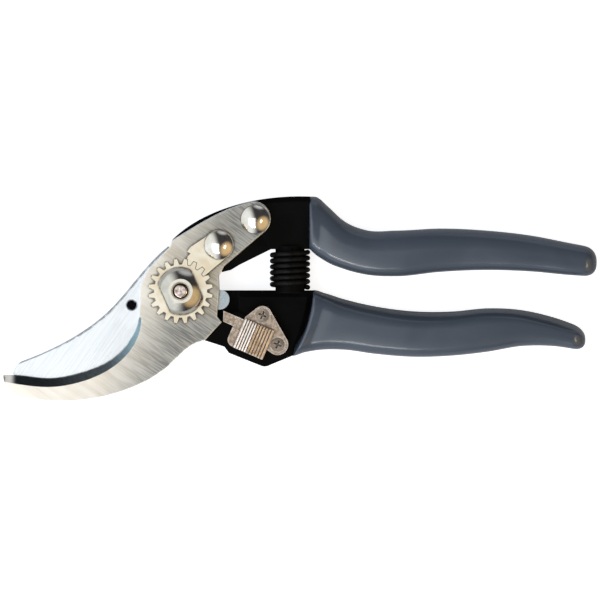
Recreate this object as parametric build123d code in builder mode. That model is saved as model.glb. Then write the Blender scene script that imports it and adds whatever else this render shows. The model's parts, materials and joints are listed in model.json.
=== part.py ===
# Bypass pruning shears, shut and lying on their back.
# The pivot stands on the origin, +X runs to the handles and +Z up out of the nut.
import os
from math import atan2, cos, pi, radians, sin, sqrt

from build123d import *

os.makedirs("parts", exist_ok=True)

# Heights of the stack on the pivot
bolt_head_t = 2.2
washer_t = 0.8
floor_t = 4.8
blade_t = 3.2
hook_t = 3.2
flange_t = 2.0
dome_t = 4.2
shoulder_t = 1.4

# Clearances
running_gap = 0.05
running_fit = 0.05
shank_fit = 0.03
seat_gap = 0.3
mesh_gap = 0.22
slide_fit = 0.1
root_sink = 1.0

# Pivot bolt, washer and nut
bolt_head_af = 13.0
bolt_r = 4.0
bolt_key_af = 6.6
thread_r = 2.9
bolt_end_drop = 0.9
washer_r = 8.0
nut_root_r = 9.8
nut_tip_r = 11.9
nut_teeth = 20
tooth_root_w = 2.0
tooth_tip_w = 1.1
dome_r = 8.7
dome_top_r = 4.5
dome_skirt = 0.7
dome_af = 12.8
dome_turn = 24.0
dome_bevel = 0.6

# Cutting blade, seen from the front
hub_r = 14.2
blade_spine = ((-4.6, 16.6), (-11.3, 10.2), (-18.7, 1.5), (-26.1, -6.9), (-40.9, -17.8), (-58.6, -25.9))
blade_nose = (-61.2, -28.2)
blade_tip = (-62.0, -30.8)
blade_edge = ((-49.5, -33.7), (-36.0, -31.9), (-24.5, -26.0), (-16.6, -16.4))
blade_heel = (-13.2, -7.6)
edge_bevel_w = 3.4
edge_land = 0.5
spine_bevel = 0.5
lobe_x = 14.4
lobe_y = -3.15
lobe_r = 3.7
blade_hole_x = -18.1
blade_hole_y = -5.2
blade_hole_r = 1.75
blade_hole_t = 2.2

# Hook plate, seen from the front
hook_edge = ((-66.4, -31.1), (-59.0, -31.2), (-48.3, -32.2), (-37.2, -30.2), (-26.0, -25.5), (-18.3, -17.4))
hook_heel = (-15.3, -9.6)
hook_flank = ((-14.8, -3.3), (-14.2, 3.0), (-11.3, 8.5))
hook_shoulder = (-3.9, 16.5)
hook_crest = ((-3.1, 18.9), (3.5, 22.9), (12.5, 28.0))
hook_end_x = 27.0
hook_end_y = 26.8
hook_end_r = 6.4
hook_crest_lean = 110.0
hook_belly_lean = -50.0
hook_waist = ((16.2, 9.2), (14.2, 5.6))
hook_side = ((14.4, 0.4), (13.7, -7.0))
hook_notch = (13.6, -9.3)
hook_nose = (15.3, -11.5)
hook_land = (9.1, -18.1)
hook_back = ((3.1, -20.7), (-4.6, -27.7), (-18.7, -35.9), (-37.2, -40.3), (-59.4, -39.0))
hook_tip_round = (-63.8, -35.8)
hook_border = (
    (-65.2, -33.6),
    (-58.5, -34.7),
    (-48.3, -35.5),
    (-37.2, -33.7),
    (-26.0, -28.8),
    (-17.6, -20.6),
)
hook_border_heel = (-14.4, -9.9)
hook_bevel_t = 1.3
hook_break = 0.3

# Fasteners on the hook plate
tab_screw_x = 14.1
tab_screw_y = 17.0
hook_rivet_x = 27.6
hook_rivet_y = 26.5
dome_head_r = 5.2
dome_head_h = 2.7
dome_head_rim = 0.5
plate_shank_r = 2.4

# Locking tab
tab_end_r = 5.5
tab_left = ((9.6, 20.2), (3.7, 16.3), (2.4, 14.6), (3.7, 13.9), (2.7, 12.9))
tab_right = ((9.9, 6.5), (18.6, 13.8))
tab_start_angle = 82.0
tab_stop_angle = 31.0

# Upper handle
upper_rim = ((-3.1, 19.0), (3.5, 24.3), (18.3, 31.2), (33.1, 34.4))
upper_front_x = 48.0
upper_front_y = 35.0
upper_belly = ((33.5, 15.5), (22.0, 9.8), (18.6, 7.8))
upper_toe = (15.4, 7.0)
upper_inner_r = 17.9
upper_inner_angle = 62.0
rim_bevel_w = 2.0
rim_bevel_t = 1.0
facet_top = (40.5, 32.6)
facet_foot = (47.5, 16.3)
facet_lean = 5.0

# Lower handle
lower_top_y = 0.3
lower_back_x = 9.1
lower_back_y = -18.3
lower_back = ((16.2, -20.6), (17.9, -22.9), (29.4, -27.5))
lower_chin = ((31.4, -27.9), (33.2, -27.3))
head_blend_angle = -112.0
recess_x = 21.6
recess_y = -8.6
panel_bevel_w = 2.6
panel_bevel_t = 1.0
lower_front_top_x = 49.4
lower_front_mid = (46.9, -13.5)
lower_front_low = (42.2, -23.6)

# Grips: where each section stands, its upper edge, its lower edge and its depth
grip_t = 15.0
grip_wall = 2.9
grip_fit = 0.15
grip_corner = 5.4
grip_round = 3.6
upper_sections = (
    (53.4, 32.4, 11.6, 14.8),
    (60.0, 26.3, 8.7, 14.8),
    (68.5, 22.7, 6.3, 14.8),
    (80.0, 21.9, 5.6, 14.8),
    (96.0, 22.9, 7.2, 14.7),
    (112.0, 22.4, 8.0, 14.4),
    (130.0, 20.1, 7.5, 13.8),
    (144.0, 17.4, 6.3, 12.8),
    (154.0, 15.7, 5.7, 11.6),
)
lower_sections = (
    (40.5, 0.4, -24.2, 14.8),
    (50.1, -0.2, -21.9, 14.8),
    (60.0, -3.2, -21.6, 14.8),
    (72.0, -5.8, -23.0, 14.8),
    (86.0, -7.6, -24.1, 14.8),
    (100.0, -7.7, -23.8, 14.7),
    (114.0, -6.6, -22.1, 14.4),
    (126.0, -7.5, -20.3, 13.8),
    (138.0, -10.3, -20.3, 12.8),
    (148.6, -14.0, -21.6, 11.0),
)
butt_gap = 0.05
tang_root = 0.6

# Return spring
spring_x = 40.5
spring_r = 6.6
wire_r = 0.8
spring_turns = 6
stud_h = 4.0
stud_gap = 0.4

# Catch, in its own axes: u runs away from the pivot along the slide, v across it
catch_x = 15.73
catch_y = -9.25
catch_turn = -23.0
bar_w = 3.7
bar_t = 2.55
bar_tip_high = -0.6
bar_tip_low = 0.85
bar_end_u = 13.6
skirt_u0 = 4.8
skirt_u1 = 12.6
skirt_v = -9.0
skirt_round = 2.6
slide_travel = 6.0
roof_t = 0.95
bracket_left = 7.7
bracket_v = 2.9
bracket_screw_r = 1.5
bracket_head_r = 2.8
bracket_head_t = 1.3
front_pad_r = 3.4
rear_pad_r = 3.9
bracket_lip = 2.2
riser_gap = 0.3
front_screw_u = 13.3
front_screw_v = 6.0
rear_screw_u = 22.7
rear_screw_v = -1.8
rear_stop_gap = 0.4
screw_depth = 6.0
cross_w = 0.8
cross_l = 3.2
cross_t = 0.9
thumb_u0 = 7.9
thumb_u1 = 19.7
thumb_split_u = 12.9
thumb_v0 = -9.2
thumb_v1 = 2.6
thumb_end_t = 1.3
thumb_ridge_t = 2.6
left_ribs = 5
right_ribs = 6
rib_h = 0.45
rail_u0 = 3.4
rail_u1 = 7.2
rail_w = 1.3
rail_t = 1.5
leaf_u = 10.5
leaf_v = -5.6
leaf_l = 8.0
leaf_w = 2.4
leaf_t = 0.4
leaf_rise = 0.7
leaf_pocket = 1.5

# Rivets that hold the cutting blade
rivet_r = 1.75
rivet_head_r = 2.9
rivet_head_h = 1.1
rivet_edge = 3.2
inner_rivet_angle = -62.0
outer_rivet_angle = -14.0

# Levels that follow from the stack
z_washer = bolt_head_t
z_back = z_washer + washer_t
z_floor = z_back + floor_t
z_blade = z_floor + blade_t
z_hook = z_blade + running_gap
z_top = z_hook + hook_t
z_flange = z_top + flange_t
z_dome = z_flange + dome_t
z_slide = z_blade + running_gap
z_bar = z_slide + bar_t
z_roof = z_bar + slide_fit
z_bracket = z_roof + roof_t
z_thumb = z_bracket + slide_fit
grip_mid = grip_t / 2
upper_seat_y = upper_belly[0][1]
upper_mouth = (upper_front_x, upper_front_y, upper_seat_y, upper_sections[0][3])
tang_inset = grip_wall + grip_fit
stud_r = spring_r - wire_r - stud_gap
rivet_ring = hub_r - rivet_edge
catch_bar = bar_w / 2
riser_v = -bracket_lip - riser_gap


def around(cx, cy, r, angle):
    """The point at an angle in degrees on a circle."""
    return (cx + r * cos(radians(angle)), cy + r * sin(radians(angle)))


def catch_plane(z):
    """The catch's own plane at a height, with its X along the slide."""
    lean = radians(catch_turn)
    return Plane((catch_x, catch_y, z), x_dir=(cos(lean), sin(lean), 0), z_dir=(0, 0, 1))


def section_plane(x, high, low):
    """The plane of a grip section, across the handle at mid depth."""
    return Plane((x, (high + low) / 2, grip_mid), x_dir=(0, 1, 0), z_dir=(1, 0, 0))


def corner(high, low, depth, inset):
    """The corner radius of a grip section, less on the smaller ones."""
    return min(grip_corner - inset, 0.46 * (high - low) - inset, 0.46 * depth - inset)


def end_round(section):
    """The fillet on a grip's end, less than the corner of its last section."""
    return min(grip_round, 0.85 * corner(*section[1:], 0))


def cap_point(foot, height):
    """The middle of the arc over a round cap, from its rim, as its radius and its drop from the crown."""
    ball = (foot**2 + height**2) / (2 * height)
    half = atan2(foot, ball - height) / 2
    return ball * sin(half), ball * (1 - cos(half))


def before_mouth(shift):
    """The field in front of the lower grip's curved mouth, moved along X."""
    with BuildSketch() as field:
        with BuildLine():
            low = (lower_front_low[0] + shift, lower_front_low[1])
            top = (lower_front_top_x + shift, lower_top_y)
            ThreePointArc(low, (lower_front_mid[0] + shift, lower_front_mid[1]), top)
            Polyline(top, (top[0], top[1] + 9), (0, top[1] + 9), (0, low[1] - 9), (low[0], low[1] - 9), low)
        make_face()
    return field.sketch


# Cutting blade: curved jaw, round hub and the lobe that seats in the lower handle
with BuildPart() as cutting_blade:
    with BuildSketch(Plane.XY.offset(z_floor)):
        with BuildLine():
            Spline(*blade_spine)
            Spline(blade_spine[-1], blade_nose, blade_tip)
            Spline(blade_tip, *blade_edge, blade_heel)
            Polyline(blade_heel, (0, -hub_r / 2), (hub_r / 2, 0), (0, hub_r - root_sink), blade_spine[0])
        make_face()
        Circle(hub_r)
        with Locations((lobe_x, lobe_y)):
            Circle(lobe_r)
        Circle(bolt_r + running_fit, mode=Mode.SUBTRACT)
        for angle in (inner_rivet_angle, outer_rivet_angle):
            with Locations(around(0, 0, rivet_ring, angle)):
                Circle(rivet_r + shank_fit, mode=Mode.SUBTRACT)
    extrude(amount=blade_t)
    under = cutting_blade.faces().sort_by(Axis.Z)[0]
    ground = under.edges().sort_by_distance((*blade_edge[1], z_floor))[0]
    chamfer(ground, length=edge_bevel_w, length2=blade_t - edge_land, reference=under)
    over = cutting_blade.faces().sort_by(Axis.Z)[-1]
    spine = over.edges().sort_by_distance((*blade_spine[3], z_blade))[0]
    chamfer(spine, length=spine_bevel)
    with BuildSketch(Plane.XY.offset(z_blade)):
        with Locations((blade_hole_x, blade_hole_y)):
            Circle(blade_hole_r)
    extrude(amount=-blade_hole_t, mode=Mode.SUBTRACT)
cutting_blade.part.label = "cutting_blade"
export_step(cutting_blade.part, "parts/cutting_blade.step")

# Hook plate: arm to the upper handle, round middle and the hooked counter blade
with BuildPart() as hook_blade:
    with BuildSketch(Plane.XY.offset(z_hook)):
        with BuildLine():
            crest_end = around(hook_end_x, hook_end_y, hook_end_r, hook_crest_lean)
            belly_end = around(hook_end_x, hook_end_y, hook_end_r, hook_belly_lean)
            far_end = around(hook_end_x, hook_end_y, hook_end_r, (hook_crest_lean + hook_belly_lean) / 2)
            Spline(*hook_edge, hook_heel)
            Line(hook_heel, hook_flank[0])
            ThreePointArc(*hook_flank)
            Polyline(hook_flank[-1], hook_shoulder, hook_crest[0])
            Spline(*hook_crest, crest_end)
            ThreePointArc(crest_end, far_end, belly_end)
            Polyline(belly_end, *hook_waist)
            ThreePointArc(hook_waist[-1], *hook_side)
            Polyline(hook_side[-1], hook_notch, hook_nose, hook_land)
            Spline(hook_land, *hook_back)
            ThreePointArc(hook_back[-1], hook_tip_round, hook_edge[0])
        make_face()
        with BuildSketch(mode=Mode.PRIVATE) as key_hole:
            Circle(bolt_r + running_fit)
            Rectangle(2 * bolt_r + 1, bolt_key_af + 2 * running_fit, mode=Mode.INTERSECT)
        add(key_hole.sketch, mode=Mode.SUBTRACT)
        with Locations((tab_screw_x, tab_screw_y), (hook_rivet_x, hook_rivet_y)):
            Circle(plate_shank_r + shank_fit, mode=Mode.SUBTRACT)
    extrude(amount=hook_t)
    over = hook_blade.faces().sort_by(Axis.Z)[-1]
    arm = over.outer_wire().edges().filter_by(lambda edge: edge.center().X > hook_shoulder[0])
    fillet(arm, hook_break)
    rims = ((z_top - hook_bevel_t, (*hook_edge, hook_heel)), (z_top, (*hook_border, hook_border_heel)))
    for level, rim in rims:
        with BuildSketch(Plane.XY.offset(level)):
            with BuildLine():
                Spline(*rim)
                Polyline(rim[-1], blade_spine[3], (hook_edge[0][0], blade_spine[-1][1]), rim[0])
            make_face()
    loft(ruled=True, mode=Mode.SUBTRACT)
hook_blade.part.label = "hook_blade"
export_step(hook_blade.part, "parts/hook_blade.step")

# Upper handle: curved casting with a seat for the hook plate, a spring stud and the tang
with BuildPart() as upper_handle:
    with BuildSketch(Plane.XY.offset(z_back)):
        with BuildLine():
            upper_end_x = upper_front_x - butt_gap
            Spline(*upper_rim, (upper_end_x, upper_front_y))
            Polyline((upper_end_x, upper_front_y), (upper_end_x, upper_seat_y), upper_belly[0])
            Polyline(*upper_belly, upper_toe)
            ThreePointArc(upper_toe, around(0, 0, upper_inner_r, upper_inner_angle), upper_rim[0])
        make_face()
    extrude(amount=z_hook + shoulder_t - z_back)
    over = upper_handle.faces().sort_by(Axis.Z)[-1]
    outer = over.edges().sort_by_distance((*upper_rim[2], z_hook + shoulder_t))[0]
    chamfer(outer, length=rim_bevel_w, length2=rim_bevel_t, reference=over)
    with BuildSketch(Plane.XY.offset(z_hook)):
        with Locations(Location((hook_end_x, hook_end_y), (hook_crest_lean + hook_belly_lean) / 2)):
            Rectangle(9 * hook_end_r, 6 * hook_end_r, align=(Align.MAX, Align.CENTER))
            Circle(hook_end_r + seat_gap)
    extrude(amount=shoulder_t + root_sink, mode=Mode.SUBTRACT)
    crease = Vector(*facet_foot) - Vector(*facet_top)
    crown = Plane((*facet_top, z_hook + shoulder_t), x_dir=crease, z_dir=(0, 0, 1))
    split(bisect_by=crown.rotated((facet_lean, 0, 0)), keep=Keep.BOTTOM)
    with BuildSketch(Plane.XY.offset(z_back)):
        with Locations((tab_screw_x, tab_screw_y), (hook_rivet_x, hook_rivet_y)):
            Circle(plate_shank_r + shank_fit)
    extrude(amount=z_hook - z_back, mode=Mode.SUBTRACT)
    stud_foot = Plane((spring_x, upper_seat_y, grip_mid), x_dir=(1, 0, 0), z_dir=(0, -1, 0))
    with BuildSketch(stud_foot.offset(-root_sink)):
        Circle(stud_r)
    extrude(amount=stud_h + root_sink)
    for x, high, low, depth in (upper_mouth, *upper_sections[:-1]):
        with BuildSketch(section_plane(x, high, low)):
            RectangleRounded(
                high - low - 2 * tang_inset,
                depth - 2 * tang_inset,
                corner(high, low, depth, tang_inset),
            )
    loft()
    with BuildSketch(section_plane(*upper_mouth[:3])):
        RectangleRounded(
            upper_front_y - upper_seat_y - 2 * tang_inset,
            upper_mouth[3] - 2 * tang_inset,
            corner(*upper_mouth[1:], tang_inset),
        )
    extrude(amount=-butt_gap - tang_root)
upper_handle.part.label = "upper_handle"
export_step(upper_handle.part, "parts/upper_handle.step")

# Upper grip: sleeve over the tang with a rounded end
with BuildPart() as upper_grip:
    for x, high, low, depth in (upper_mouth, *upper_sections):
        with BuildSketch(section_plane(x, high, low)):
            RectangleRounded(high - low, depth, corner(high, low, depth, 0))
    loft()
    fillet(upper_grip.faces().sort_by(Axis.X)[-1].edges(), end_round(upper_sections[-1]))
    for x, high, low, depth in (upper_mouth, *upper_sections[:-1]):
        with BuildSketch(section_plane(x, high, low)):
            RectangleRounded(
                high - low - 2 * grip_wall,
                depth - 2 * grip_wall,
                corner(high, low, depth, grip_wall),
            )
    loft(mode=Mode.SUBTRACT)
upper_grip.part.label = "upper_grip"
export_step(upper_grip.part, "parts/upper_grip.step")

# Tang of the lower handle, from the curved shoulder into the grip
with BuildPart() as lower_tang:
    for x, high, low, depth in lower_sections[:-1]:
        with BuildSketch(section_plane(x, high, low)):
            RectangleRounded(
                high - low - 2 * tang_inset,
                depth - 2 * tang_inset,
                corner(high, low, depth, tang_inset),
            )
    loft()
    extrude(before_mouth(-tang_root), amount=grip_t + 1, both=True, mode=Mode.SUBTRACT)

# Lower handle: round head with the blade's recess, catch panel, spring stud and the tang
with BuildPart() as lower_handle:
    with BuildSketch(Plane.XY.offset(z_back)):
        with BuildLine():
            lower_front_top = (lower_front_top_x, lower_top_y)
            Polyline((lower_back_x, lower_back_y), *lower_back)
            ThreePointArc(lower_back[-1], *lower_chin)
            Line(lower_chin[-1], lower_front_low)
            ThreePointArc(lower_front_low, lower_front_mid, lower_front_top)
            Polyline(
                lower_front_top,
                (0, lower_top_y),
                around(0, 0, hub_r, head_blend_angle),
                (lower_back_x, lower_back_y),
            )
        make_face()
        Circle(hub_r)
    extrude(amount=z_blade - z_back)
    over = lower_handle.faces().sort_by(Axis.Z)[-1]
    upper_edge = over.edges().sort_by_distance((spring_x, lower_top_y, z_blade))[0]
    front_edge = over.edges().sort_by_distance((*lower_front_mid, z_blade))[0]
    chamfer([upper_edge, front_edge], length=panel_bevel_w, length2=panel_bevel_t, reference=over)
    with BuildSketch(Plane.XY.offset(z_floor)):
        Circle(hub_r + seat_gap)
        Polygon((0, hub_r), (recess_x, hub_r), (recess_x, recess_y), (0, -hub_r))
    extrude(amount=blade_t + root_sink, mode=Mode.SUBTRACT)
    with BuildSketch(Plane.XY.offset(z_back)):
        Circle(bolt_r + running_fit)
        for angle in (inner_rivet_angle, outer_rivet_angle):
            with Locations(around(0, 0, rivet_ring, angle)):
                Circle(rivet_r + shank_fit)
    extrude(amount=floor_t, mode=Mode.SUBTRACT)
    stud_foot = Plane((spring_x, lower_top_y, grip_mid), x_dir=(1, 0, 0), z_dir=(0, 1, 0))
    with BuildSketch(stud_foot.offset(-root_sink)):
        Circle(stud_r)
    extrude(amount=stud_h + root_sink)
    with BuildSketch(catch_plane(z_blade)):
        for u, v in ((front_screw_u, front_screw_v), (rear_screw_u, rear_screw_v)):
            with Locations((u, v)):
                Circle(bracket_screw_r + shank_fit)
    extrude(amount=-screw_depth - slide_fit, mode=Mode.SUBTRACT)
    with BuildSketch(catch_plane(z_blade)):
        with Locations((leaf_u, leaf_v)):
            Rectangle(leaf_l + 2 * seat_gap, leaf_w + 2 * seat_gap)
    extrude(amount=-leaf_pocket, mode=Mode.SUBTRACT)
    with BuildSketch(catch_plane(z_floor)):
        with Locations(((rail_u0 + rail_u1) / 2, catch_bar + slide_fit + rail_w / 2)):
            Rectangle(rail_u1 - rail_u0, rail_w)
    extrude(amount=blade_t + rail_t)
    add(lower_tang.part)
lower_handle.part.label = "lower_handle"
export_step(lower_handle.part, "parts/lower_handle.step")

# Lower grip: sleeve over the tang, its mouth cut to the handle's curved shoulder
with BuildPart() as lower_grip:
    for x, high, low, depth in lower_sections:
        with BuildSketch(section_plane(x, high, low)):
            RectangleRounded(high - low, depth, corner(high, low, depth, 0))
    loft()
    fillet(lower_grip.faces().sort_by(Axis.X)[-1].edges(), end_round(lower_sections[-1]))
    for x, high, low, depth in lower_sections[:-1]:
        with BuildSketch(section_plane(x, high, low)):
            RectangleRounded(
                high - low - 2 * grip_wall,
                depth - 2 * grip_wall,
                corner(high, low, depth, grip_wall),
            )
    loft(mode=Mode.SUBTRACT)
    extrude(before_mouth(butt_gap), amount=grip_t + 1, both=True, mode=Mode.SUBTRACT)
lower_grip.part.label = "lower_grip"
export_step(lower_grip.part, "parts/lower_grip.step")

# Pivot bolt: hexagon head at the back, keyed neck in the hook plate and the threaded end
with BuildPart() as pivot_bolt:
    with BuildSketch():
        RegularPolygon(bolt_head_af / 2, 6, major_radius=False)
    extrude(amount=bolt_head_t)
    with BuildSketch(Plane.XY.offset(bolt_head_t)):
        Circle(bolt_r)
    extrude(amount=z_hook - bolt_head_t)
    with BuildSketch(Plane.XY.offset(z_hook)):
        Circle(bolt_r)
        Rectangle(2 * bolt_r + 1, bolt_key_af, mode=Mode.INTERSECT)
    extrude(amount=hook_t)
    with BuildSketch(Plane.XY.offset(z_top)):
        Circle(thread_r)
    extrude(amount=z_dome - bolt_end_drop - z_top)
    fillet(pivot_bolt.faces().sort_by(Axis.Z)[-1].edges(), thread_r / 3)
pivot_bolt.part.label = "pivot_bolt"
export_step(pivot_bolt.part, "parts/pivot_bolt.step")

# Washer under the bolt head
with BuildPart() as pivot_washer:
    with BuildSketch(Plane.XY.offset(z_washer)):
        Circle(washer_r)
        Circle(bolt_r + seat_gap, mode=Mode.SUBTRACT)
    extrude(amount=washer_t)
pivot_washer.part.label = "pivot_washer"
export_step(pivot_washer.part, "parts/pivot_washer.step")

# Adjuster nut: toothed flange and a ball-shaped dome with two flats for the spanner
with BuildPart() as adjuster_nut:
    with BuildSketch(Plane.XY.offset(z_top)):
        Circle(nut_root_r)
        with PolarLocations(0, nut_teeth, start_angle=180 / nut_teeth):
            Polygon(
                (nut_root_r - root_sink, -tooth_root_w / 2),
                (nut_root_r, -tooth_root_w / 2),
                (nut_tip_r, -tooth_tip_w / 2),
                (nut_tip_r, tooth_tip_w / 2),
                (nut_root_r, tooth_root_w / 2),
                (nut_root_r - root_sink, tooth_root_w / 2),
            )
    extrude(amount=flange_t)
    with BuildSketch(Plane.XZ):
        with BuildLine():
            dome_foot = (dome_r, z_flange)
            dome_brow = (dome_r, z_flange + dome_skirt)
            dome_crown = (dome_top_r, z_dome)
            brow_z = dome_brow[1]
            ball_z = (dome_top_r**2 - dome_r**2 + z_dome**2 - brow_z**2) / (2 * (z_dome - brow_z))
            ball_r = sqrt(dome_r**2 + (brow_z - ball_z) ** 2)
            slope = (atan2(brow_z - ball_z, dome_r) + atan2(z_dome - ball_z, dome_top_r)) / 2
            Polyline((0, z_dome), (0, z_flange), dome_foot, dome_brow)
            ThreePointArc(dome_brow, around(0, ball_z, ball_r, slope * 180 / pi), dome_crown)
            Line(dome_crown, (0, z_dome))
        make_face()
    revolve(axis=Axis.Z)
    with BuildSketch(Plane.XY.offset(z_flange).rotated((0, 0, dome_turn))):
        with Locations((dome_af / 2, 0)):
            Rectangle(dome_r, 3 * dome_r, align=(Align.MIN, Align.CENTER))
        with Locations((-dome_af / 2, 0)):
            Rectangle(dome_r, 3 * dome_r, align=(Align.MAX, Align.CENTER))
    extrude(amount=dome_t, mode=Mode.SUBTRACT)
    with BuildSketch(Plane.XY.offset(z_top)):
        Circle(thread_r + shank_fit)
    extrude(amount=flange_t + dome_t, mode=Mode.SUBTRACT)
    chamfer(adjuster_nut.faces().sort_by(Axis.Z)[-1].edges().sort_by(SortBy.RADIUS)[0], length=dome_bevel)
adjuster_nut.part.label = "adjuster_nut"
export_step(adjuster_nut.part, "parts/adjuster_nut.step")

# Locking tab: segment whose teeth fill three gaps of the nut
with BuildPart() as locking_tab:
    with BuildSketch(Plane.XY.offset(z_top)):
        with Locations((tab_screw_x, tab_screw_y)):
            Circle(tab_end_r)
        Polygon(
            *tab_left,
            around(0, 0, nut_root_r - root_sink, tab_start_angle),
            around(0, 0, nut_root_r - root_sink, tab_stop_angle),
            *tab_right,
        )
        Circle(nut_root_r + mesh_gap, mode=Mode.SUBTRACT)
        with PolarLocations(0, nut_teeth, start_angle=180 / nut_teeth):
            Polygon(
                (nut_root_r - root_sink, -tooth_root_w / 2 - mesh_gap),
                (nut_root_r, -tooth_root_w / 2 - mesh_gap),
                (nut_tip_r + mesh_gap, -tooth_tip_w / 2 - mesh_gap),
                (nut_tip_r + mesh_gap, tooth_tip_w / 2 + mesh_gap),
                (nut_root_r, tooth_root_w / 2 + mesh_gap),
                (nut_root_r - root_sink, tooth_root_w / 2 + mesh_gap),
                mode=Mode.SUBTRACT,
            )
        with Locations((tab_screw_x, tab_screw_y)):
            Circle(plate_shank_r + shank_fit, mode=Mode.SUBTRACT)
    extrude(amount=flange_t)
locking_tab.part.label = "locking_tab"
export_step(locking_tab.part, "parts/locking_tab.step")

# Domed screw of the tab
with BuildPart() as tab_screw:
    with BuildSketch(Plane.XZ):
        with BuildLine():
            brow = (dome_head_r, z_flange + dome_head_rim)
            crown_z = z_flange + dome_head_h
            bow_r, bow_drop = cap_point(dome_head_r, dome_head_h - dome_head_rim)
            Polyline((0, crown_z), (0, z_back), (plate_shank_r, z_back), (plate_shank_r, z_flange))
            Polyline((plate_shank_r, z_flange), (dome_head_r, z_flange), brow)
            ThreePointArc(brow, (bow_r, crown_z - bow_drop), (0, crown_z))
        make_face()
    revolve(axis=Axis.Z)
tab_screw.part.position = (tab_screw_x, tab_screw_y, 0)
tab_screw.part.label = "tab_screw"
export_step(tab_screw.part, "parts/tab_screw.step")

# Domed rivet at the end of the hook plate
with BuildPart() as hook_rivet:
    with BuildSketch(Plane.XZ):
        with BuildLine():
            brow = (dome_head_r, z_top + dome_head_rim)
            crown_z = z_top + dome_head_h
            Polyline((0, crown_z), (0, z_back), (plate_shank_r, z_back), (plate_shank_r, z_top))
            Polyline((plate_shank_r, z_top), (dome_head_r, z_top), brow)
            ThreePointArc(brow, (bow_r, crown_z - bow_drop), (0, crown_z))
        make_face()
    revolve(axis=Axis.Z)
hook_rivet.part.position = (hook_rivet_x, hook_rivet_y, 0)
hook_rivet.part.label = "hook_rivet"
export_step(hook_rivet.part, "parts/hook_rivet.step")

# Rivets of the cutting blade, flush in the blade and headed at the back
rivets = {"blade_rivet_inner": inner_rivet_angle, "blade_rivet_outer": outer_rivet_angle}
for rivet_name, angle in rivets.items():
    with BuildPart() as blade_rivet:
        with BuildSketch(Plane.XZ):
            with BuildLine():
                rivet_low = z_back - rivet_head_h
                bow_r, bow_drop = cap_point(rivet_head_r, rivet_head_h)
                Polyline((0, rivet_low), (0, z_blade), (rivet_r, z_blade), (rivet_r, z_back))
                Line((rivet_r, z_back), (rivet_head_r, z_back))
                ThreePointArc((rivet_head_r, z_back), (bow_r, rivet_low + bow_drop), (0, rivet_low))
            make_face()
        revolve(axis=Axis.Z)
    blade_rivet.part.position = (*around(0, 0, rivet_ring, angle), 0)
    blade_rivet.part.label = rivet_name
    export_step(blade_rivet.part, "parts/" + rivet_name + ".step")

# Catch bolt: flat bar whose slanted tip stands in the way of the hook plate's nose, and its skirt
with BuildPart() as catch_bolt:
    with BuildSketch(catch_plane(z_slide)):
        Polygon(
            (bar_tip_high, catch_bar),
            (bar_tip_low, -catch_bar),
            (bar_end_u, -catch_bar),
            (bar_end_u, catch_bar),
        )
        with BuildLine():
            turn_u = skirt_u0 + skirt_round
            turn_v = skirt_v + skirt_round
            turn_mid = around(turn_u, turn_v, skirt_round, 225)
            Polyline((skirt_u1, 0), (skirt_u0, 0), (skirt_u0, turn_v))
            ThreePointArc((skirt_u0, turn_v), turn_mid, (turn_u, skirt_v))
            Polyline((turn_u, skirt_v), (skirt_u1, skirt_v), (skirt_u1, 0))
        make_face()
    extrude(amount=bar_t)
    with BuildSketch(catch_plane(z_bar)):
        with BuildLine():
            Polyline((skirt_u1, riser_v), (skirt_u0, riser_v), (skirt_u0, turn_v))
            ThreePointArc((skirt_u0, turn_v), turn_mid, (turn_u, skirt_v))
            Polyline((turn_u, skirt_v), (skirt_u1, skirt_v), (skirt_u1, riser_v))
        make_face()
    extrude(amount=z_thumb - z_bar)
catch_bolt.part.label = "catch_bolt"
export_step(catch_bolt.part, "parts/catch_bolt.step")

# Thumb piece: low roof with cross ribs, carried on the skirt
with BuildPart() as catch_thumb:
    slide = catch_plane(z_thumb)
    thumb_side = Plane(slide.from_local_coords((0, thumb_v1, 0)), x_dir=slide.x_dir, z_dir=-slide.y_dir)
    with BuildSketch(thumb_side):
        roof = [(thumb_u0, 0), (thumb_u0, thumb_end_t)]
        for i in range(left_ribs):
            step = (thumb_split_u - thumb_u0) / left_ribs
            rise = (thumb_ridge_t - thumb_end_t) / left_ribs
            roof.append((thumb_u0 + (i + 0.5) * step, thumb_end_t + (i + 0.5) * rise + rib_h))
            roof.append((thumb_u0 + (i + 1) * step, thumb_end_t + (i + 1) * rise))
        for i in range(right_ribs):
            step = (thumb_u1 - thumb_split_u) / right_ribs
            fall = (thumb_ridge_t - thumb_end_t) / right_ribs
            roof.append((thumb_split_u + (i + 0.5) * step, thumb_ridge_t - (i + 0.5) * fall + rib_h))
            roof.append((thumb_split_u + (i + 1) * step, thumb_ridge_t - (i + 1) * fall))
        roof.append((thumb_u1, 0))
        Polygon(*roof)
    extrude(amount=thumb_v1 - thumb_v0)
catch_thumb.part.label = "catch_thumb"
export_step(catch_thumb.part, "parts/catch_thumb.step")

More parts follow.
